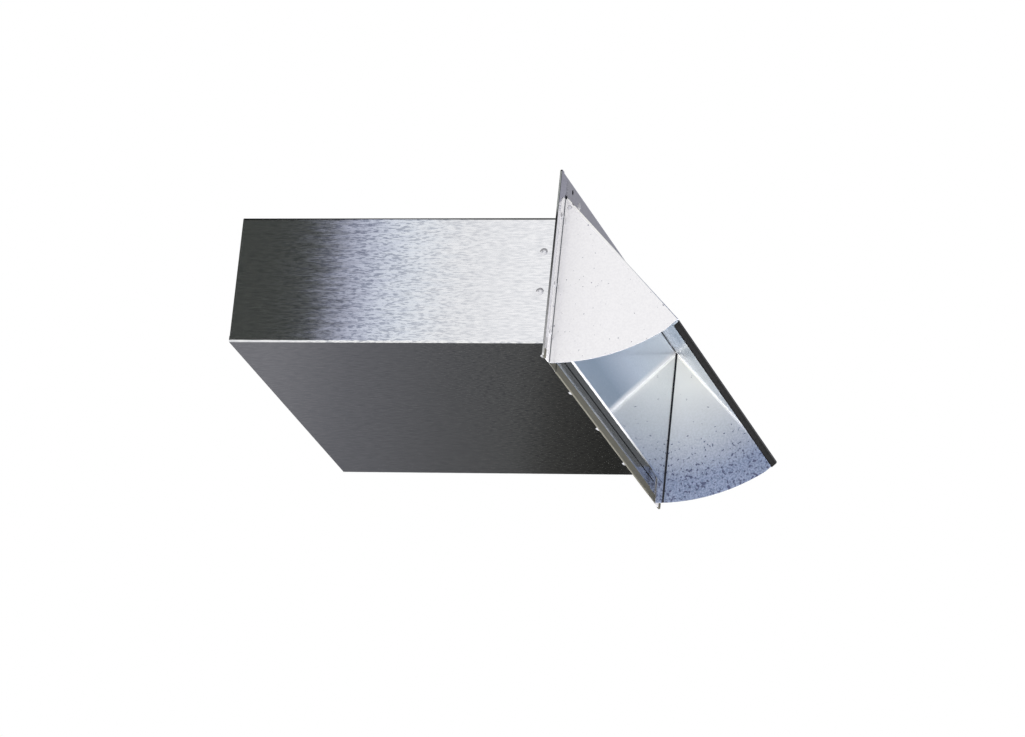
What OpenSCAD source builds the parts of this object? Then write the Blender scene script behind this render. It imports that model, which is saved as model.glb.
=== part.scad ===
// Wall vent cap for a rectangular kitchen duct, folded from thin galvanised sheet.
// A sleeve runs back through the wall, a wall plate covers the hole, and a hood with two
// cheeks turns the air downwards over a flap that swings open on a rod and falls shut.
// The wall plate's front face lies in the plane x = 0 and x points away from the wall.
// The origin is the centre of the duct in that plane, y runs across and z is up.

/* [Duct] */
// Outside width of the duct sleeve
duct_w = 254; // [200:1:320]
// Outside height of the duct sleeve
duct_h = 82.5; // [64:0.5:110]
// Distance from the wall plate's front face back to the open rear end
duct_l = 210; // [120:1:260]
// Width of the seam's edge that shows on the sleeve's side
seam_edge = 3.8; // [2.5:0.1:6]
// How far the seam's edge is cut back from the sleeve's front end
seam_notch = 2; // [1.5:0.5:6]
// Width of the seam's folded pocket inside the sleeve
seam_pocket = 7; // [5:0.5:8]

/* [Sheet metal] */
// Thickness of the sheet that every folded piece is made of
sheet = 0.6; // [0.5:0.05:0.7]
// Outside radius of a fold
fold_r = 1.4; // [1.2:0.1:1.8]
// Gap between the collar and the sleeve that slips over it
slip_fit = 0.15; // [0.1:0.05:0.3]

/* [Wall plate] */
// How far the plate stands out past each side of the duct
plate_side = 23; // [20:0.5:40]
// How far the plate stands above the duct
plate_above = 23.25; // [20:0.25:40]
// How far the plate stands below the duct
plate_below = 15.75; // [14:0.25:30]
// Width of the hems folded forward along the sides and the bottom
hem_w = 5.6; // [4:0.2:6]
// How far the bottom hem stops short of the plate's side edges
hem_stop = 31; // [20:1:50]
// Size of the cut across the plate's corners
corner_cut = 1.5; // [1:0.5:4]
// Depth of the collar that the sleeve slips over
collar_d = 22; // [18:1:40]
// How far the collar's four walls stop short of the sleeve's corners
collar_stop = 11; // [9.5:0.5:20]
// Diameter of the screw holes in the top margin
screw_hole = 3; // [2.5:0.5:5]
// Distance of the screw holes below the plate's top edge
screw_drop = 5; // [4.5:0.25:7]
// Distance of the screw holes from the plate's side edges
screw_in = 28; // [24:1:34]

/* [Hood] */
// How far each cheek stands out past the side of the duct
cheek_out = 9; // [6:0.5:12]
// Distance of the hood's top fold below the plate's top edge
fold_drop = 12.5; // [12:0.5:20]
// Angle of the front panel from the wall
front_angle = 44.5; // [40:0.1:54]
// Radius of the cheeks' curved bottom edge
cheek_r = 128.5; // [110:0.5:150]
// Width of the lip folded in along the front panel's bottom edge
lip_w = 5; // [3.5:0.5:8]
// Bare strip of plate left above the hood's top flange
flange_drop = 1.5; // [0.5:0.25:2]
// How far the top flange stops short of each cheek's outer face
flange_stop = 3; // [2:0.5:6]
// Gap between a tab's outer edge and the plate's side hem
tab_gap = 0.4; // [0.2:0.1:1]
// Radius of the tabs' upper outer corner
tab_corner = 6; // [3:0.5:7]

/* [Flap] */
// Distance of the flap's front face from the plate
flap_out = 5.6; // [5:0.1:7]
// Gap between the flap and each cheek
flap_side_gap = 2; // [1:0.25:4]
// Gap between the flap's turned-back edges and the plate
flap_seat_gap = 0.4; // [0.3:0.1:1]
// How far the flap reaches below the duct
flap_below = 3.25; // [1:0.25:4]
// Diameter of the hinge rod
rod_d = 2.5; // [2:0.1:3]
// Gap all round the rod in the flap's curl and in the cheeks' holes
rod_fit = 0.1; // [0.05:0.01:0.1]
// Gap between the flap's curl and the front panel
curl_gap = 0.6; // [0.4:0.1:1.5]

/* [Rivets] */
// Diameter of a rivet's shank
shank_d = 2.8; // [2.4:0.1:3.2]
// Diameter of a rivet's round head
head_d = 5; // [4.4:0.1:5.6]
// Height of a rivet's round head
head_h = 1; // [0.7:0.1:1.4]
// Diameter of a rivet's set tail
tail_d = 4.2; // [3.8:0.1:5]
// Height of a rivet's set tail
tail_h = 0.8; // [0.5:0.1:1.2]
// Depth of the hood rivets' tails, set flush in the back of the plate
sink_h = 0.4; // [0.2:0.05:0.45]
// Gap all round a rivet in its hole
rivet_fit = 0.05; // [0.02:0.01:0.1]
// Distance of the collar's rivets behind the plate's front face
collar_rivet_x = 12.6; // [9:0.2:15]
// Distance of the outer rivets of a row along the collar's top and bottom from the duct's sides
collar_rivet_in = 23.5; // [20:0.5:40]
// Spacing of the two rivets on each side of the collar
side_rivet_pitch = 26; // [18:1:30]
// Height of the middle of each side pair above the duct's centre
side_rivet_rise = 5.6; // [0:0.2:6]
// Distance of a tab's top rivet below the hood's top fold
tab_rivet_top = 15; // [9:0.5:18]
// Distance of a tab's bottom rivet above the plate's bottom edge
tab_rivet_low = 17.8; // [8:0.2:20]
// Distance between a tab's top rivet and its middle one
tab_rivet_step = 44.5; // [30:0.5:60]
// Distance of the top flange's outer rivets from the plate's side edges
top_rivet_in = 44.5; // [42:0.5:70]
// Distance of the top flange's rivets below the plate's top edge
top_rivet_drop = 8; // [7:0.25:8.5]

/* [Hidden] */
$fn = 48;

// How far a cutting shape runs past what it cuts
past = 1;
steel = [0.74, 0.76, 0.79];
bright_steel = [0.86, 0.87, 0.89];

plate_w = duct_w + 2 * plate_side;
plate_top = duct_h / 2 + plate_above;
plate_bottom = -duct_h / 2 - plate_below;
plate_tall = plate_top - plate_bottom;
screw_z = plate_top - screw_drop;
screw_y = plate_w / 2 - screw_in;

// The sleeve starts behind the plate, clear of the inside of the collar's fold
sleeve_front = -fold_r;
collar_w = duct_w - 2 * sheet - 2 * slip_fit;
collar_h = duct_h - 2 * sheet - 2 * slip_fit;

half_hood = duct_w / 2 + cheek_out;
apex_z = plate_top - fold_drop;
flange_top = plate_top - flange_drop;
tab_edge = plate_w / 2 - hem_w - tab_gap;
// The tabs end where their fold would meet the front panel
tab_top = apex_z - (2 * fold_r - sheet) / tan(front_angle);
tab_base = half_hood - sheet;
// The cheeks' bottom edge is an arc that leaves the wall level with the plate's bottom edge
arc_z = plate_bottom + cheek_r;
apex_rise = apex_z - arc_z;
// Length of the front panel, from its top fold down to the arc
panel_start = sheet * sin(front_angle) - apex_rise * cos(front_angle);
panel_l = sqrt(pow(panel_start, 2) + pow(cheek_r, 2) - pow(apex_rise, 2) - pow(sheet, 2)) - panel_start;

curl_bore = rod_d / 2 + rod_fit;
curl_r = curl_bore + sheet;
hinge_x = flap_out - curl_r;
hinge_z = apex_z - (hinge_x - sheet) / tan(front_angle) - (sheet + curl_r + curl_gap) / sin(front_angle);
flap_bottom = -duct_h / 2 - flap_below;
flap_half = half_hood - sheet - flap_side_gap;
flap_lip = flap_out - flap_seat_gap;
// The flap's side lips start below the curl
flap_lip_top = hinge_z - 2 * curl_r;

tab_rivet_y = (half_hood + fold_r - sheet + tab_edge) / 2;
tab_rivet_z = [apex_z - tab_rivet_top,
               apex_z - tab_rivet_top - tab_rivet_step,
               plate_bottom + tab_rivet_low];
collar_rivet_pitch = (duct_w - 2 * collar_rivet_in) / 3;
top_rivet_pitch = plate_w / 2 - top_rivet_in;
rivet_hole = shank_d + 2 * rivet_fit;

// Two legs of sheet at a right angle, with their outer faces on the x and y axes
module fold_section(leg_x, leg_y) {
    translate([fold_r, 0])
        square([leg_x - fold_r, sheet]);
    translate([0, fold_r])
        square([sheet, leg_y - fold_r]);
    intersection() {
        square(fold_r);
        translate([fold_r, fold_r])
            difference() {
                circle(fold_r);
                circle(fold_r - sheet);
            }
    }
}

// A rectangle centred on the origin with round corners
module round_rect(w, h, r) {
    square([w - 2 * r, h], center = true);
    square([w, h - 2 * r], center = true);
    for (sx = [-1, 1])
        for (sy = [-1, 1])
            translate([sx * (w / 2 - r), sy * (h / 2 - r)])
                circle(r);
}

// A flat outline in the y and z directions, thickened from x = from to x = to
module across_x(from, to) {
    translate([from, 0, 0])
        rotate([90, 0, 90])
            linear_extrude(to - from)
                children();
}

// A flat outline in the x and z directions, thickened by w about y = 0
module across_y(w) {
    rotate([90, 0, 0])
        linear_extrude(w, center = true)
            children();
}

// The same piece again on the other side of the duct
module both_sides() {
    children();
    mirror([0, 1, 0])
        children();
}

// A round hole or shank along x through the plane x = 0
module peg_x(d, l, y, z) {
    translate([0, y, z])
        rotate([0, 90, 0])
            cylinder(d = d, h = l, center = true);
}

// Where the collar's rivets stand, each with its own z axis pointing out of the duct
module at_collar_rivets() {
    for (face = [0, 180])
        rotate([face, 0, 0])
            for (i = [-1.5:1.5])
                translate([-collar_rivet_x, i * collar_rivet_pitch, duct_h / 2])
                    children();
    for (side = [-1, 1])
        for (i = [-0.5, 0.5])
            translate([-collar_rivet_x, side * duct_w / 2, side_rivet_rise + i * side_rivet_pitch])
                rotate([-90 * side, 0, 0])
                    children();
}

// Where the hood's rivets stand, each with its own z axis pointing out of the wall
module at_hood_rivets() {
    for (side = [-1, 1])
        for (z = tab_rivet_z)
            translate([sheet, side * tab_rivet_y, z])
                rotate([0, 90, 0])
                    children();
    for (i = [-1:1])
        translate([sheet, i * top_rivet_pitch, plate_top - top_rivet_drop])
            rotate([0, 90, 0])
                children();
}

// A rivet's round head on z = 0 with its shank, through the given thickness of metal
module rivet(grip) {
    dome_r = (pow(head_d / 2, 2) + pow(head_h, 2)) / (2 * head_h);
    intersection() {
        translate([0, 0, head_h - dome_r])
            sphere(dome_r);
        cylinder(d = head_d, h = head_h + past);
    }
    translate([0, 0, -grip])
        cylinder(d = shank_d, h = grip + head_h / 2);
}

// The tapered hole, or the tail that fills it, from the back of both sheets forwards
module flush_tail(gap) {
    translate([0, 0, -2 * sheet])
        cylinder(d1 = tail_d + 2 * gap, d2 = shank_d + 2 * gap, h = sink_h);
}

// The sleeve's section, with its corner seam's pocket at the bottom of one side
module sleeve_section() {
    difference() {
        round_rect(duct_w, duct_h, fold_r);
        round_rect(duct_w - 2 * sheet, duct_h - 2 * sheet, fold_r - sheet);
    }
    translate([-duct_w / 2 + sheet / 2, -duct_h / 2 + sheet / 2])
        square([seam_pocket, 2.5 * sheet]);
}

// The seam's outer edge laps up the sleeve's side and is cut back clear of the wall
module duct_sleeve() {
    color(bright_steel)
        difference() {
            union() {
                across_x(-duct_l, sleeve_front)
                    sleeve_section();
                across_x(-duct_l, sleeve_front - seam_notch)
                    translate([-duct_w / 2 - sheet, -duct_h / 2])
                        fold_section(3 * fold_r, seam_edge);
            }
            at_collar_rivets()
                cylinder(d = rivet_hole, h = 6 * sheet, center = true);
        }
}

// One wall of the collar, bent back from the plate at the window's edge
module collar_wall(width, reach) {
    translate([0, 0, reach])
        across_y(width)
            mirror([1, 0])
                fold_section(collar_d, 2 * fold_r);
}

module collar() {
    reach_y = collar_w / 2 - sheet;
    reach_z = collar_h / 2 - sheet;
    for (turn = [0, 180])
        rotate([turn, 0, 0])
            collar_wall(collar_w - 2 * collar_stop, reach_z);
    for (turn = [90, -90])
        rotate([turn, 0, 0])
            collar_wall(collar_h - 2 * collar_stop, reach_y);
}

// The plate's outline with its four corners cut across
module plate_outline() {
    difference() {
        translate([-plate_w / 2, plate_bottom])
            square([plate_w, plate_tall]);
        for (side = [-1, 1])
            for (corner = [plate_bottom, plate_top])
                translate([side * plate_w / 2, corner])
                    rotate(45)
                        square(corner_cut * sqrt(2), center = true);
    }
}

// A hem along y with its round fold at z = 0, folded forward over the plate's front face
module hem(length) {
    across_y(length) {
        translate([-sheet, sheet])
            square([2 * sheet, hem_w - sheet]);
        translate([0, sheet])
            circle(sheet);
    }
}

module wall_plate() {
    window = 2 * (fold_r - sheet);
    color(steel)
        difference() {
            union() {
                intersection() {
                    union() {
                        across_x(-sheet, 0)
                            difference() {
                                translate([sheet - plate_w / 2, plate_bottom + sheet])
                                    square([plate_w - 2 * sheet, plate_tall - sheet]);
                                square([collar_w + window, collar_h + window], center = true);
                            }
                        translate([0, 0, plate_bottom])
                            hem(plate_w - 2 * hem_stop);
                        for (side = [-1, 1])
                            translate([0, side * plate_w / 2, (plate_top + plate_bottom) / 2])
                                rotate([90 * side, 0, 0])
                                    hem(plate_tall);
                    }
                    across_x(-past, past)
                        plate_outline();
                }
                collar();
            }
            at_collar_rivets()
                cylinder(d = rivet_hole, h = 6 * sheet, center = true);
            at_hood_rivets() {
                cylinder(d = rivet_hole, h = 6 * sheet, center = true);
                flush_tail(rivet_fit);
            }
            both_sides()
                peg_x(screw_hole, 6 * sheet, screw_y, screw_z);
        }
}

// Turns its children so that x points out of the front panel and z points up its slope
module on_front_panel() {
    translate([sheet, 0, apex_z])
        rotate([0, -front_angle, 0])
            children();
}

// Front panel and cheeks as one channel, cut to the cheeks' curved outline
module front_and_cheeks() {
    intersection() {
        on_front_panel()
            translate([0, 0, fold_r - panel_l])
                linear_extrude(panel_l)
                    both_sides()
                        translate([0, half_hood])
                            rotate(180)
                                fold_section(cheek_r, half_hood + past);
        across_y(2 * half_hood + past)
            intersection() {
                translate([0, arc_z])
                    circle(cheek_r, $fn = 180);
                translate([fold_r, arc_z - cheek_r])
                    square(2 * cheek_r);
            }
    }
}

// The top flange, flat on the plate, running into the start of the front panel
module top_flange() {
    across_y(2 * (half_hood - flange_stop)) {
        translate([0, apex_z])
            square([sheet, flange_top - apex_z]);
        intersection() {
            translate([sheet, apex_z])
                rotate(front_angle)
                    translate([-sheet, -4 * fold_r])
                        square([sheet, 6 * fold_r]);
            translate([0, apex_z - 4 * fold_r])
                square([2 * fold_r, 6 * fold_r]);
        }
    }
}

// The lip folded in along the front panel's bottom edge
module front_lip() {
    on_front_panel()
        translate([0, 0, -panel_l])
            across_y(2 * (half_hood - sheet - fold_r))
                mirror([1, 0])
                    fold_section(lip_w, 2 * fold_r);
}

// A cheek's rear edge folded outwards into a tab that lies flat on the plate
module tab() {
    tab_w = tab_edge - tab_base;
    tab_h = tab_top - plate_bottom;
    intersection() {
        translate([0, tab_base, plate_bottom])
            linear_extrude(tab_h)
                fold_section(2 * fold_r, tab_w);
        across_x(-past, 3 * fold_r)
            translate([tab_base, plate_bottom]) {
                square([tab_w, tab_h - tab_corner]);
                square([tab_w - tab_corner, tab_h]);
                translate([tab_w - tab_corner, tab_h - tab_corner])
                    circle(tab_corner);
            }
    }
}

module hood() {
    color(bright_steel)
        difference() {
            union() {
                front_and_cheeks();
                top_flange();
                front_lip();
                both_sides()
                    tab();
            }
            translate([hinge_x, 0, hinge_z])
                rotate([90, 0, 0])
                    cylinder(d = rod_d + 2 * rod_fit, h = 2 * half_hood + past, center = true);
            at_hood_rivets()
                cylinder(d = rivet_hole, h = 6 * sheet, center = true);
            both_sides()
                peg_x(screw_hole, 6 * sheet, screw_y, screw_z);
        }
}

// The flap's section: a flat face with its bottom edge turned back and its top edge curled
module flap_section() {
    translate([flap_out, flap_bottom])
        mirror([1, 0])
            fold_section(flap_lip, hinge_z - flap_bottom);
    translate([hinge_x, hinge_z])
        difference() {
            circle(curl_r);
            circle(curl_bore);
            translate([curl_bore - sheet, -curl_r])
                square([sheet, curl_r]);
        }
}

module damper_flap() {
    side_lip_bottom = flap_bottom + fold_r;
    color(bright_steel) {
        across_y(2 * (flap_half - fold_r))
            flap_section();
        both_sides()
            translate([flap_out, flap_half, side_lip_bottom])
                linear_extrude(flap_lip_top - side_lip_bottom)
                    rotate(180)
                        fold_section(flap_lip, 2 * fold_r);
    }
}

module hinge_rod() {
    rod_r = rod_d / 2;
    // The rod's two ends are bevelled and lie flush with the cheeks' outer faces
    bevel = rod_d / 8;
    color("silver")
        translate([hinge_x, 0, hinge_z])
            rotate([90, 0, 0])
                rotate_extrude()
                    polygon([[0, -half_hood],
                             [rod_r - bevel, -half_hood],
                             [rod_r, bevel - half_hood],
                             [rod_r, half_hood - bevel],
                             [rod_r - bevel, half_hood],
                             [0, half_hood]]);
}

// Their tails stand proud inside the collar
module collar_rivets() {
    grip = 2 * sheet + slip_fit;
    color("silver")
        at_collar_rivets() {
            rivet(grip);
            translate([0, 0, -grip - tail_h])
                cylinder(d = tail_d, h = tail_h);
        }
}

// Their tails are flush, so that the plate lies flat on the wall
module hood_rivets() {
    color("silver")
        at_hood_rivets() {
            rivet(2 * sheet);
            flush_tail(0);
        }
}

duct_sleeve();
wall_plate();
hood();
damper_flap();
hinge_rod();
collar_rivets();
hood_rivets();
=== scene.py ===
# The look of a galvanised wall vent cap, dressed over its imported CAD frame.
# Lengths are in metres, in the frame of the part: x points out of the wall, y runs across
# and z is up. The origin is the centre of the duct in the plane of the wall plate's front.
import math

import bpy
from mathutils import Matrix, Vector

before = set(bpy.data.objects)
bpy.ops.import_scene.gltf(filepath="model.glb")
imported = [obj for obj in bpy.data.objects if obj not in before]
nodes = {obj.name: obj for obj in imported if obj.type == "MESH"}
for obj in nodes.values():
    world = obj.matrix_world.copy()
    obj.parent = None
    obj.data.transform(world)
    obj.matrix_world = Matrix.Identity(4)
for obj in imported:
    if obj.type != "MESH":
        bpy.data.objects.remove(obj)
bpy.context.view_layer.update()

# The camera
# A long lens below the cap and off its near side, so that the duct's underside, one side
# and the open mouth of the hood all show. It leans over by a few degrees.
IMAGE_WIDTH = 1025
FOCAL_PIXELS = 6500
SENSOR_WIDTH = 36
CAMERA_PLACE = Vector((1.0735, -3.7377, -1.3300))
CAMERA_AIM = Vector((-0.27582, 0.90657, 0.31945))
CAMERA_LEAN = math.radians(5.865)


def put_in_scene(name, data):
    thing = bpy.data.objects.new(name, data)
    bpy.context.scene.collection.objects.link(thing)
    return thing


def aimed(place, aim, lean=0.0):
    # Stands at the place, looks along the aim and leans over by an angle.
    return (
        Matrix.Translation(place)
        @ aim.to_track_quat("-Z", "Y").to_matrix().to_4x4()
        @ Matrix.Rotation(lean, 4, "Z")
    )


lens = bpy.data.cameras.new("camera")
lens.sensor_width = SENSOR_WIDTH
lens.lens = FOCAL_PIXELS / IMAGE_WIDTH * SENSOR_WIDTH
camera = put_in_scene("camera", lens)
camera.matrix_world = aimed(CAMERA_PLACE, CAMERA_AIM, CAMERA_LEAN)
bpy.context.scene.camera = camera

# The duct sleeve
# One galvanised sheet folded into a rectangular tube and closed by a lock seam along one
# bottom corner. The sheet was rolled along the duct, and the rolling marks show as streaks.
# Handling has left fine blue grey scuffs on the sides and on the underside near the plate.
DUCT_ZINC = (0.93, 0.93, 0.94)
DUCT_STREAK = (0.74, 0.75, 0.775)
ROLLING_MARK = (0.006, 0.0009, 0.0009)
ROLLING_DEPTH = 0.00003
SHEET_WAVE = (0.12, 0.12, 0.12)
DUCT_WAVE_DEPTH = 0.0002
GRAIN_DARK = 0.34
GRAIN_LIGHT = 0.62
SIDE_STREAK = (0.012, 0.0018, 0.0018)
SIDE_LEAN = 0.04
MASK_EDGE = 0.0002
SIDE_FACE = 0.1265
UNDER_FACE = -0.0405
TOP_FOLD_HEIGHT = 0.0397
TOP_FOLD_SIDE = 0.1256
TOP_FOLD_PAINTED_SHADE = (0.2, 0.21, 0.2)
SCUFF = (0.0035, 0.0007, 0.0007)
SCUFF_TONES = [(0.39, (0.5, 0.515, 0.56)), (0.53, (1.0, 1.0, 1.0))]
SIDE_SCUFFS_REAR = (-0.21, -0.13)
SIDE_SCUFFS_FRONT = (-0.03, -0.12)
UNDER_SCUFFS = (-0.11, -0.06)


def add_node(kind, sources, **settings):
    # Makes a node fed by the given sockets, in the same tree, and sets its plain values.
    tree = next(iter(sources.values())).id_data
    node = tree.nodes.new(kind)
    for name, value in settings.items():
        if name in node.inputs:
            node.inputs[name].default_value = value
        else:
            setattr(node, name, value)
    for name, socket in sources.items():
        tree.links.new(socket, node.inputs[name])
    return node


def object_place(tree):
    return tree.nodes.new("ShaderNodeTexCoord").outputs["Object"]


def combine(operation, *parts):
    # Works out one value by the named operation from sockets and plain numbers.
    sockets = {slot: part for slot, part in enumerate(parts) if not isinstance(part, float)}
    node = add_node("ShaderNodeMath", sockets, operation=operation)
    for slot, part in enumerate(parts):
        if isinstance(part, float):
            node.inputs[slot].default_value = part
    return node.outputs["Value"]


def where_all(first, *others):
    # A mask that is 1 where every given mask is 1.
    mask = first
    for other in others:
        mask = combine("MULTIPLY", mask, other)
    return mask


def rise(value, low, high):
    # Runs from 0 where the value is low to 1 where it is high; low may be the larger one.
    span = add_node("ShaderNodeMapRange", {"Value": value})
    span.inputs["From Min"].default_value = low
    span.inputs["From Max"].default_value = high
    return span.outputs["Result"]


def beyond(value, edge):
    # A mask that is 1 where the value is more than the edge.
    return rise(value, edge - MASK_EDGE / 2, edge + MASK_EDGE / 2)


def short_of(value, edge):
    # A mask that is 1 where the value is less than the edge.
    return rise(value, edge + MASK_EDGE / 2, edge - MASK_EDGE / 2)


def stretched_noise(place, size, detail=2.0):
    # Noise whose blots are size = (x, y, z) metres across.
    mapping = add_node("ShaderNodeMapping", {"Vector": place})
    mapping.inputs["Scale"].default_value = [1 / length for length in size]
    noise = add_node("ShaderNodeTexNoise", {"Vector": mapping.outputs["Vector"]})
    noise.inputs["Scale"].default_value = 1.0
    noise.inputs["Detail"].default_value = detail
    return noise.outputs["Fac"]


def ramp(source, stops):
    # A colour ramp from (place, colour) pairs.
    node = add_node("ShaderNodeValToRGB", {"Fac": source})
    elements = node.color_ramp.elements
    while len(elements) < len(stops):
        elements.new(0.5)
    for element, (place, color) in zip(elements, stops):
        element.position = place
        element.color = (*color, 1.0)
    return node.outputs["Color"]


class Zinc:
    # A zinc finish as it is built up: its places, and its colour and normal so far.
    def __init__(self, name, metallic, roughness, specular=0.5):
        self.material = bpy.data.materials.new(name)
        self.material.use_nodes = True
        self.shader = self.material.node_tree.nodes["Principled BSDF"]
        self.metallic = metallic
        self.shader.inputs["Metallic"].default_value = metallic
        self.shader.inputs["Roughness"].default_value = roughness
        self.shader.inputs["Specular IOR Level"].default_value = specular
        self.place = object_place(self.material.node_tree)
        self.x, self.y, self.z = add_node(
            "ShaderNodeSeparateXYZ", {"Vector": self.place}
        ).outputs
        self.side = combine("ABSOLUTE", self.y)
        self.color = None
        self.normal = None

    def raise_marks(self, marks, depth):
        # Raises the surface by the marks, from 0 to 1, times the depth.
        sources = {"Height": marks}
        if self.normal:
            sources["Normal"] = self.normal
        relief = add_node("ShaderNodeBump", sources, Strength=1.0, Distance=depth)
        self.normal = relief.outputs["Normal"]

    def waves(self, size, depth):
        # The soft unevenness of thin sheet.
        self.raise_marks(stretched_noise(self.place, size, detail=1.0), depth)

    def grain(self, size, shade, light, depth):
        # Rolling marks or spangle, in two tones.
        marks = stretched_noise(self.place, size, detail=3.0)
        self.color = ramp(marks, [(GRAIN_DARK, shade), (GRAIN_LIGHT, light)])
        self.raise_marks(marks, depth)

    def lean_streaks(self, size, amount, where):
        # Leans the surface to and fro along x, streak by streak, where the mask is 1.
        marks = stretched_noise(self.place, size, detail=1.0)
        lean = combine("MULTIPLY", combine("SUBTRACT", marks, 0.5), amount)
        lean = combine("MULTIPLY", lean, where)
        push = add_node("ShaderNodeCombineXYZ", {"X": lean}).outputs["Vector"]
        pushed = add_node(
            "ShaderNodeVectorMath", {0: self.normal, 1: push}, operation="ADD"
        ).outputs["Vector"]
        unit = add_node("ShaderNodeVectorMath", {0: pushed}, operation="NORMALIZE")
        self.normal = unit.outputs["Vector"]

    def tint(self, mask, color):
        # Lays a plain colour or another socket's colour where the mask is 1.
        layer = add_node("ShaderNodeMixRGB", {"Fac": mask, "Color1": self.color})
        if isinstance(color, tuple):
            layer.inputs["Color2"].default_value = (*color, 1.0)
        else:
            self.material.node_tree.links.new(color, layer.inputs["Color2"])
        self.color = layer.outputs["Color"]

    def make_matt(self, mask):
        # Takes the metal's shine away where the mask is 1.
        metal = combine("MULTIPLY", combine("SUBTRACT", 1.0, mask), self.metallic)
        self.material.node_tree.links.new(metal, self.shader.inputs["Metallic"])

    def dress(self, *names):
        # Wires the shader and gives the finish to CAD nodes.
        links = self.material.node_tree.links
        links.new(self.color, self.shader.inputs["Base Color"])
        links.new(self.normal, self.shader.inputs["Normal"])
        for name in names:
            mesh = nodes[name].data
            mesh.materials.clear()
            mesh.materials.append(self.material)


duct_zinc = Zinc("duct zinc", metallic=1.0, roughness=0.12)
on_side = beyond(duct_zinc.side, SIDE_FACE)
duct_zinc.waves(SHEET_WAVE, DUCT_WAVE_DEPTH)
duct_zinc.lean_streaks(SIDE_STREAK, SIDE_LEAN, on_side)
duct_zinc.grain(ROLLING_MARK, DUCT_STREAK, DUCT_ZINC, ROLLING_DEPTH)
# The top fold is painted dark grey: painted shade, standing in for the dark that the fold
# mirrors.
top_fold = where_all(
    beyond(duct_zinc.z, TOP_FOLD_HEIGHT),
    beyond(duct_zinc.side, TOP_FOLD_SIDE),
)
duct_zinc.tint(top_fold, TOP_FOLD_PAINTED_SHADE)
side_scuffs = where_all(
    rise(duct_zinc.x, *SIDE_SCUFFS_REAR),
    rise(duct_zinc.x, *SIDE_SCUFFS_FRONT),
    on_side,
)
under_scuffs = where_all(rise(duct_zinc.x, *UNDER_SCUFFS), short_of(duct_zinc.z, UNDER_FACE))
scuffed = combine("ADD", side_scuffs, under_scuffs)
duct_zinc.tint(scuffed, ramp(stretched_noise(duct_zinc.place, SCUFF, detail=3.0), SCUFF_TONES))
duct_zinc.dress("duct_sleeve")

# The wall plate
# One sheet with its window's edges bent back into a collar, and its side and bottom edges
# hemmed forwards. The front below the window, the bottom hem and the rims are painted
# darker than the flat sheet as shade, and the bottom hem is matt.
PLATE_ZINC = (0.9, 0.9, 0.93)
PLATE_SHADE = (0.8, 0.8, 0.84)
PLATE_GRAIN = (0.0015, 0.01, 0.0015)
PLATE_GRAIN_DEPTH = 0.000006
PLATE_WAVE_DEPTH = 0.0002
PLATE_FRONT = -0.00035
MARGIN_PAINTED_SHADE = (0.55, 0.55, 0.56)
MARGIN_TOP = -0.04425
HEM_PAINTED_SHADE = (0.135, 0.13, 0.11)
HEM_TOP = -0.0515
RIM_SIDE = 0.14895
RIM_PAINTED_SHADE = [
    (-0.057, (0.5, 0.5, 0.5)),
    (-0.020, (0.3, 0.3, 0.3)),
    (0.000, (0.12, 0.12, 0.12)),
    (0.030, (0.03, 0.03, 0.03)),
    (0.034, (0.03, 0.03, 0.03)),
    (0.040, (0.42, 0.44, 0.42)),
]
SCREW_HOLE = (0, 0.122, 0.0595)
CORNER_SHADE_SPOT = (0, 0.1342, 0.0518)
HOLE_RADIUS = 0.00165
HOLE_PAINTED_SHADE = (0.01, 0.01, 0.01)


def tones_along(value, stops):
    # A colour ramp whose stops lie at distances in metres.
    low, high = stops[0][0], stops[-1][0]
    tones = [((distance - low) / (high - low), tone) for distance, tone in stops]
    return ramp(rise(value, low, high), tones)


def line_distance(place, centre, across):
    # Distance from a line through the centre; across is 0 along the line and 1 across it.
    mapping = add_node("ShaderNodeMapping", {"Vector": place})
    mapping.inputs["Location"].default_value = [-c * a for c, a in zip(centre, across)]
    mapping.inputs["Scale"].default_value = across
    flat = mapping.outputs["Vector"]
    return add_node("ShaderNodeVectorMath", {0: flat}, operation="LENGTH").outputs["Value"]


def paint_hole_shade(zinc, centre):
    # Paints a black disc of shade round the centre, taken along x, and round its twin on the
    # other side. It stands in for the shade in the screw holes and in the corner gaps.
    folded = add_node("ShaderNodeCombineXYZ", {"Y": zinc.side, "Z": zinc.z})
    apart = line_distance(folded.outputs["Vector"], centre, (0, 1, 1))
    zinc.tint(short_of(apart, HOLE_RADIUS), HOLE_PAINTED_SHADE)


plate_zinc = Zinc("plate zinc", metallic=1.0, roughness=0.16, specular=0.0)
plate_zinc.waves(SHEET_WAVE, PLATE_WAVE_DEPTH)
plate_zinc.grain(PLATE_GRAIN, PLATE_SHADE, PLATE_ZINC, PLATE_GRAIN_DEPTH)
plate_front = beyond(plate_zinc.x, PLATE_FRONT)
# The front below the window is painted grey: painted shade under the flap's lip.
plate_zinc.tint(where_all(plate_front, short_of(plate_zinc.z, MARGIN_TOP)), MARGIN_PAINTED_SHADE)
# The bottom hem is painted dark grey as shade, and made matt.
bottom_hem = where_all(plate_front, short_of(plate_zinc.z, HEM_TOP))
plate_zinc.tint(bottom_hem, HEM_PAINTED_SHADE)
plate_zinc.make_matt(bottom_hem)
# The side rims are painted with shade that changes with height, darkest a little below the
# sleeve's top.
rim = beyond(plate_zinc.side, RIM_SIDE)
plate_zinc.tint(rim, tones_along(plate_zinc.z, RIM_PAINTED_SHADE))
# Painted shade, black, in the screw holes and at the corners by the tabs.
paint_hole_shade(plate_zinc, SCREW_HOLE)
paint_hole_shade(plate_zinc, CORNER_SHADE_SPOT)
plate_zinc.dress("wall_plate")
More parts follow.
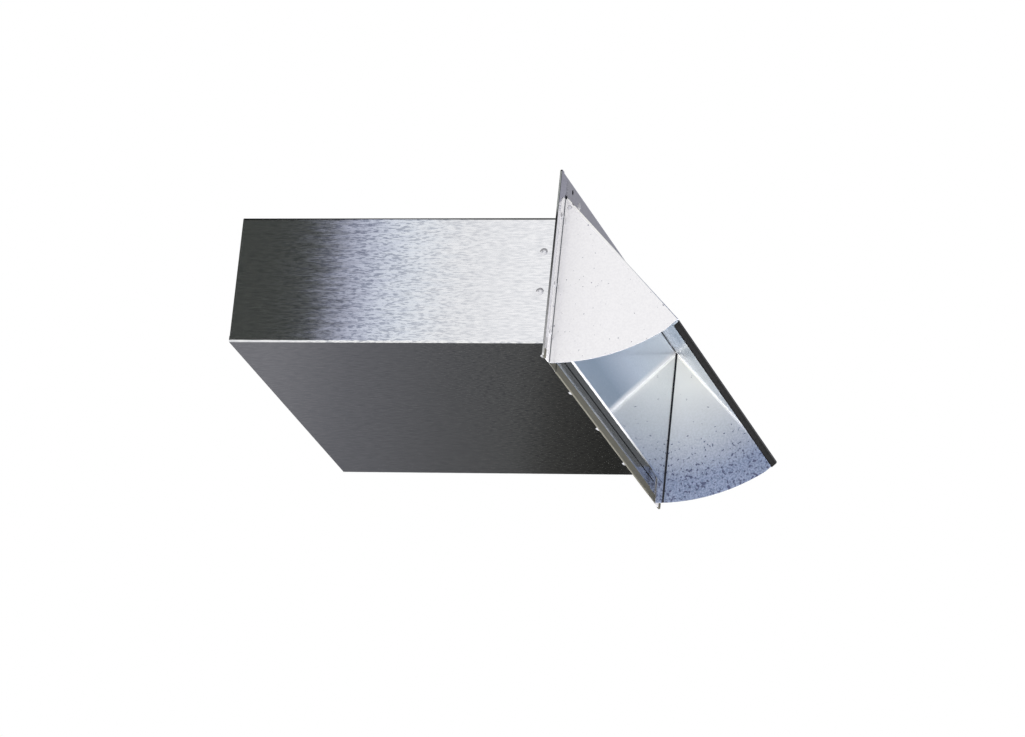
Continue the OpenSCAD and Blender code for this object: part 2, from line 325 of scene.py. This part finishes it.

# The hood
# One sheet folded into a front panel with two cheeks, a flange, tabs and a lip. Inside, the
# cheeks have blue grey painted shade and more specks towards their curved free edge, the panel
# has painted grey shade in a broad band, and the lip is painted nearly black as shade. The tab
# folds, the flange and a line on each cheek beside the flap's edge are painted with shade too.
HOOD_ZINC = (0.94, 0.93, 0.945)
HOOD_SHADE = (0.88, 0.87, 0.89)
SPANGLE = (0.0012, 0.0012, 0.0012)
SPANGLE_DEPTH = 0.000003
HOOD_WAVE_DEPTH = 0.00015
CHEEK_ZINC = (0.94, 0.935, 0.885)
CHEEK_INSIDE = 0.1354
CHEEK_REACH = 0.0003
CHEEK_OUTSIDE = 0.1358
ARC_CENTRE = (0, 0, 0.0715)
SHADE_FROM = 0.05
FREE_EDGE_FULL = 0.115
SHADE_BLOT = (0.0013, 0.0013, 0.0013)
CHEEK_PAINTED_SHADE = [(0.4, (0.19, 0.23, 0.33)), (0.6, (0.3, 0.34, 0.46))]
SPECK_SIZE = (0.002, 0.002, 0.002)
SPECK_GREY = (0.1, 0.11, 0.18)
SPECKS_START = (0.73, 0.77)
SPECKS_FROM = 0.07
MORE_SPECKS_INSIDE = 0.15
MORE_SPECKS_OUTSIDE = 0.045
PANEL_SLOPE = math.radians(44.5)
PANEL_BACK = 0.03655
PANEL_MIDDLE = (0.1335, 0.127)
PANEL_PAINTED_SHADE = [
    (-0.030, (0.75, 0.8, 0.86)),
    (0.000, (0.52, 0.58, 0.68)),
    (0.018, (0.26, 0.32, 0.40)),
    (0.045, (0.3, 0.35, 0.415)),
    (0.068, (0.64, 0.67, 0.72)),
]
BEND_SIDE = 0.13385
BEND_BACK = 0.035
LIP_START = 0.07575
LIP_PAINTED_SHADE = [
    (0.0316, (0.0, 0.0, 0.0)),
    (0.0330, (0.023, 0.0225, 0.023)),
    (0.0350, (0.02, 0.0195, 0.02)),
    (0.0364, (0.0, 0.0, 0.0)),
]
LIP_BLOT = (0.0015, 0.0015, 0.0015)
LIP_BLOTS_START = (0.5, 0.7)
LIP_SHADE_BLACK = (0.01, 0.01, 0.01)
TAB_FOLD_SIDE = 0.1366
TAB_FOLD_REACH = 0.0005
TAB_FOLD_PAINTED_SHADE = (0.2, 0.21, 0.23)
FLANGE_HEIGHT = 0.0516
FLANGE_PAINTED_SHADE = (0.34, 0.34, 0.38)
GAP_SHADOW_PLACE = 0.0056
GAP_SHADOW_REACH = 0.0007
GAP_PAINTED_SHADOW = (0.03, 0.03, 0.035)


def along(place, direction):
    # How far the place lies along a direction.
    node = add_node("ShaderNodeVectorMath", {0: place}, operation="DOT_PRODUCT")
    node.inputs[1].default_value = direction
    return node.outputs["Value"]


def near(value, middle, reach):
    # A mask that is 1 where the value is no further from the middle than the reach.
    return combine("COMPARE", value, middle, reach)


def shade_and_speckle_cheeks(zinc, inside):
    # The inner faces are tinted warm, and painted shade turns them blue grey towards their
    # free edge, where specks are also thicker.
    zinc.tint(inside, CHEEK_ZINC)
    from_arc = line_distance(zinc.place, ARC_CENTRE, (1, 0, 1))
    # Painted shade: blue grey blots towards the free edge.
    painted_shade = where_all(rise(from_arc, SHADE_FROM, FREE_EDGE_FULL), inside)
    zinc.tint(painted_shade, ramp(stretched_noise(zinc.place, SHADE_BLOT), CHEEK_PAINTED_SHADE))

    free_edge = where_all(rise(from_arc, SPECKS_FROM, FREE_EDGE_FULL), inside)
    specks = stretched_noise(zinc.place, SPECK_SIZE)
    specks = combine("ADD", specks, combine("MULTIPLY", free_edge, MORE_SPECKS_INSIDE))
    outside = beyond(zinc.side, CHEEK_OUTSIDE)
    specks = combine("ADD", specks, combine("MULTIPLY", outside, MORE_SPECKS_OUTSIDE))
    zinc.tint(rise(specks, *SPECKS_START), SPECK_GREY)


def shade_panel(zinc, down_slope, off_slope):
    # The panel's inner face is painted with bands of shade, and the metal is matt along the
    # bends.
    behind = short_of(off_slope, PANEL_BACK)
    middle = rise(zinc.side, *PANEL_MIDDLE)
    # Painted shade in soft bands down the panel's inner face.
    zinc.tint(where_all(behind, middle), tones_along(down_slope, PANEL_PAINTED_SHADE))
    bend = where_all(beyond(zinc.side, BEND_SIDE), beyond(off_slope, BEND_BACK))
    zinc.make_matt(bend)


def paint_lip_shade(zinc, down_slope, off_slope):
    # The lip is painted nearly black, in blots: painted shade standing in for the dark it
    # mirrors.
    lip = beyond(down_slope, LIP_START)
    zinc.tint(lip, tones_along(off_slope, LIP_PAINTED_SHADE))
    blots = rise(stretched_noise(zinc.place, LIP_BLOT), *LIP_BLOTS_START)
    zinc.tint(where_all(blots, lip), LIP_SHADE_BLACK)


def shade_folds_gap_and_flange(zinc, inside):
    # Painted shade on the tabs' folds and on the flange, and a painted shadow line on the
    # cheeks in the gap by the flap's edge.
    # Painted shade along the tabs' folds.
    zinc.tint(near(zinc.side, TAB_FOLD_SIDE, TAB_FOLD_REACH), TAB_FOLD_PAINTED_SHADE)
    # A painted shadow line on the cheeks' inner faces, in the gap beside the flap's edge.
    zinc.tint(where_all(near(zinc.x, GAP_SHADOW_PLACE, GAP_SHADOW_REACH), inside), GAP_PAINTED_SHADOW)
    # Painted shade on the flange.
    zinc.tint(beyond(zinc.z, FLANGE_HEIGHT), FLANGE_PAINTED_SHADE)


hood_zinc = Zinc("hood zinc", metallic=0.3, roughness=0.15, specular=0.1)
hood_zinc.waves(SHEET_WAVE, HOOD_WAVE_DEPTH)
hood_zinc.grain(SPANGLE, HOOD_SHADE, HOOD_ZINC, SPANGLE_DEPTH)
cheek_inside = near(hood_zinc.side, CHEEK_INSIDE, CHEEK_REACH)
panel_down = along(hood_zinc.place, (math.sin(PANEL_SLOPE), 0, -math.cos(PANEL_SLOPE)))
panel_off = along(hood_zinc.place, (math.cos(PANEL_SLOPE), 0, math.sin(PANEL_SLOPE)))
shade_and_speckle_cheeks(hood_zinc, cheek_inside)
shade_panel(hood_zinc, panel_down, panel_off)
paint_lip_shade(hood_zinc, panel_down, panel_off)
shade_folds_gap_and_flange(hood_zinc, cheek_inside)
# Painted shade, black, in the screw holes and at the corners by the tabs.
paint_hole_shade(hood_zinc, SCREW_HOLE)
paint_hole_shade(hood_zinc, CORNER_SHADE_SPOT)
hood_zinc.dress("hood")

# The damper flap
# One bright sheet with its sides and bottom turned back and its top curled round the hinge
# rod, on which it hangs. The bottom fold is grey and matt, apart from its far end.
FLAP_ZINC = (0.84, 0.86, 0.885)
FLAP_SHADE = (0.76, 0.79, 0.815)
FLAP_WAVE_DEPTH = 0.00015
BOTTOM_FOLD = 0.049
FOLD_ZINC = (0.6, 0.6, 0.63)
FOLD_GREY_FADE = (0.1, 0.02)

flap_zinc = Zinc("flap zinc", metallic=1.0, roughness=0.04)
flap_zinc.waves(SHEET_WAVE, FLAP_WAVE_DEPTH)
flap_zinc.grain(SPANGLE, FLAP_SHADE, FLAP_ZINC, SPANGLE_DEPTH)
bottom_fold = where_all(
    beyond(along(flap_zinc.place, (1, 0, -1)), BOTTOM_FOLD),
    rise(flap_zinc.y, *FOLD_GREY_FADE),
)
flap_zinc.tint(bottom_fold, FOLD_ZINC)
flap_zinc.make_matt(bottom_fold)
flap_zinc.dress("damper_flap")

# The hinge rod
# A length of zinc plated wire, cut off flush with the cheeks. It is held in a hole in each
# cheek, and was drawn through a die, which leaves fine marks along it.
DRAWING_MARK = (0.001, 0.005, 0.001)
PLATING_DEPTH = 0.00001

rod_zinc = Zinc("rod zinc", metallic=1.0, roughness=0.25)
rod_zinc.grain(DRAWING_MARK, PLATE_SHADE, PLATE_ZINC, PLATING_DEPTH)
rod_zinc.dress("hinge_rod")

# The rivets
# Zinc plated steel rivets with low round heads, set by a press. Twelve join the sleeve to
# the plate's collar, and nine join the hood to the plate.
rivet_zinc = Zinc("rivet zinc", metallic=0.6, roughness=0.2)
rivet_zinc.grain(SPANGLE, PLATE_SHADE, PLATE_ZINC, PLATING_DEPTH)
rivet_zinc.dress("collar_rivets", "hood_rivets")

# The cards
# Flat cards out of the picture, which shine with the light and dark bands that the metal
# mirrors. They show in reflections only and cast no shadow.
CARD_Y = -0.45
CEILING = 0.3
MOUTH_BLUE = (0.3, 0.34, 0.46)
FRONT_GREY = (0.08, 0.08, 0.085)


def plane(name, low, high, material):
    # A flat rectangle between two corners that share one of their three coordinates.
    first, second = [axis for axis in range(3) if low[axis] != high[axis]]
    after_low = list(low)
    after_low[first] = high[first]
    after_high = list(low)
    after_high[second] = high[second]
    mesh = bpy.data.meshes.new(name)
    mesh.from_pydata([low, after_low, high, after_high], [], [(0, 1, 2, 3)])
    mesh.materials.append(material)
    panel = put_in_scene(name, mesh)
    return panel


def card(name, low, high, axis, stops):
    # A card whose tones lie along the x or y axis, at distances in metres.
    material = bpy.data.materials.new(name)
    material.use_nodes = True
    tree = material.node_tree
    tree.nodes.clear()
    split = add_node("ShaderNodeSeparateXYZ", {"Vector": object_place(tree)})
    tones = tones_along(split.outputs[axis], stops)
    shine = add_node("ShaderNodeEmission", {"Color": tones})
    add_node("ShaderNodeOutputMaterial", {"Surface": shine.outputs["Emission"]})
    panel = plane(name, low, high, material)
    panel.visible_camera = False
    panel.visible_diffuse = False
    panel.visible_shadow = False


# Mirrored by the sleeve's near side: dark towards its open end, light towards the plate.
card(
    "side_card",
    (-0.42, CARD_Y, -0.02),
    (0.6, CARD_Y, CEILING),
    "X",
    [
        (-0.268, (0.054, 0.058, 0.053)),
        (-0.243, (0.4, 0.42, 0.54)),
        (-0.226, (0.56, 0.6, 0.71)),
        (-0.205, (0.74, 0.78, 0.84)),
        (-0.170, (0.85, 0.855, 0.87)),
        (-0.110, (0.95, 0.95, 0.96)),
    ],
)
# A bluish card off the near side of the mouth, mirrored faintly by the flap.
card(
    "mouth_card",
    (0.2, CARD_Y, -0.5),
    (0.8, CARD_Y, -0.03),
    "X",
    [(0.2, MOUTH_BLUE), (0.4, MOUTH_BLUE)],
)
# Mirrored by the sleeve's underside, which darkens towards the plate.
card(
    "under_card",
    (-1.2, 0.5, -1.2),
    (1.2, 0.5, -0.07),
    "X",
    [
        (-0.40, (0.19, 0.19, 0.205)),
        (-0.34, (0.13, 0.131, 0.143)),
        (-0.26, (0.092, 0.093, 0.097)),
        (-0.21, (0.078, 0.079, 0.079)),
        (-0.18, (0.045, 0.045, 0.043)),
        (-0.14, (0.026, 0.026, 0.024)),
        (-0.06, (0.03, 0.03, 0.03)),
        (0.12, (0.17, 0.175, 0.18)),
    ],
)
# Mirrored by the plate's top margin, and from above by the sleeve's top.
card(
    "ceiling_card",
    (-1.2, CARD_Y, CEILING),
    (1.4, 2.4, CEILING),
    "Y",
    [(0.1, (0.06, 0.06, 0.065)), (0.5, (0.32, 0.32, 0.37))],
)
# Mirrored by the plate's margins and the flap when they are seen from the front.
card(
    "front_card",
    (0.9, CARD_Y, -0.1),
    (0.9, 0.6, CEILING),
    "Y",
    [(-0.4, FRONT_GREY), (0.4, FRONT_GREY)],
)

# The lamp
# One small soft lamp below the hood. It lights the insides of the cheeks and the panel, and
# isn't mirrored by the metal.
MOUTH_LAMP_PLACE = Vector((0.06, -0.08, -0.36))
MOUTH_LAMP_AIM = Vector((-0.02, 0.21, 0.36))
MOUTH_LAMP_WATTS = 1.9
MOUTH_LAMP_SIZE = 0.1

lamp = bpy.data.lights.new("mouth_lamp", "AREA")
lamp.energy = MOUTH_LAMP_WATTS
lamp.size = MOUTH_LAMP_SIZE
mouth_lamp = put_in_scene("mouth_lamp", lamp)
mouth_lamp.matrix_world = aimed(MOUTH_LAMP_PLACE, MOUTH_LAMP_AIM)
mouth_lamp.visible_camera = False
mouth_lamp.visible_glossy = False

# The room
# A plain white room lit evenly from all sides, with a pale floor far below the hanging cap,
# so that no wall or floor comes between the cap and the view from below.
FLOOR_DROP = 5.0
FLOOR_HALF = 47
FLOOR_PAINT = (0.9, 0.9, 0.9)
ROOM_WHITE = (1, 1, 1)

floor_paint = bpy.data.materials.new("floor paint")
floor_paint.use_nodes = True
floor_shader = floor_paint.node_tree.nodes["Principled BSDF"]
floor_shader.inputs["Base Color"].default_value = (*FLOOR_PAINT, 1)
floor_shader.inputs["Roughness"].default_value = 0.9
plane(
    "floor",
    (-FLOOR_HALF, -FLOOR_HALF, -FLOOR_DROP),
    (FLOOR_HALF, FLOOR_HALF, -FLOOR_DROP),
    floor_paint,
)

room = bpy.data.worlds.new("studio")
room.use_nodes = True
room.node_tree.nodes["Background"].inputs["Color"].default_value = (*ROOM_WHITE, 1)
room.node_tree.nodes["Background"].inputs["Strength"].default_value = 1.0
bpy.context.scene.world = room
bpy.context.scene.view_settings.view_transform = "Standard"
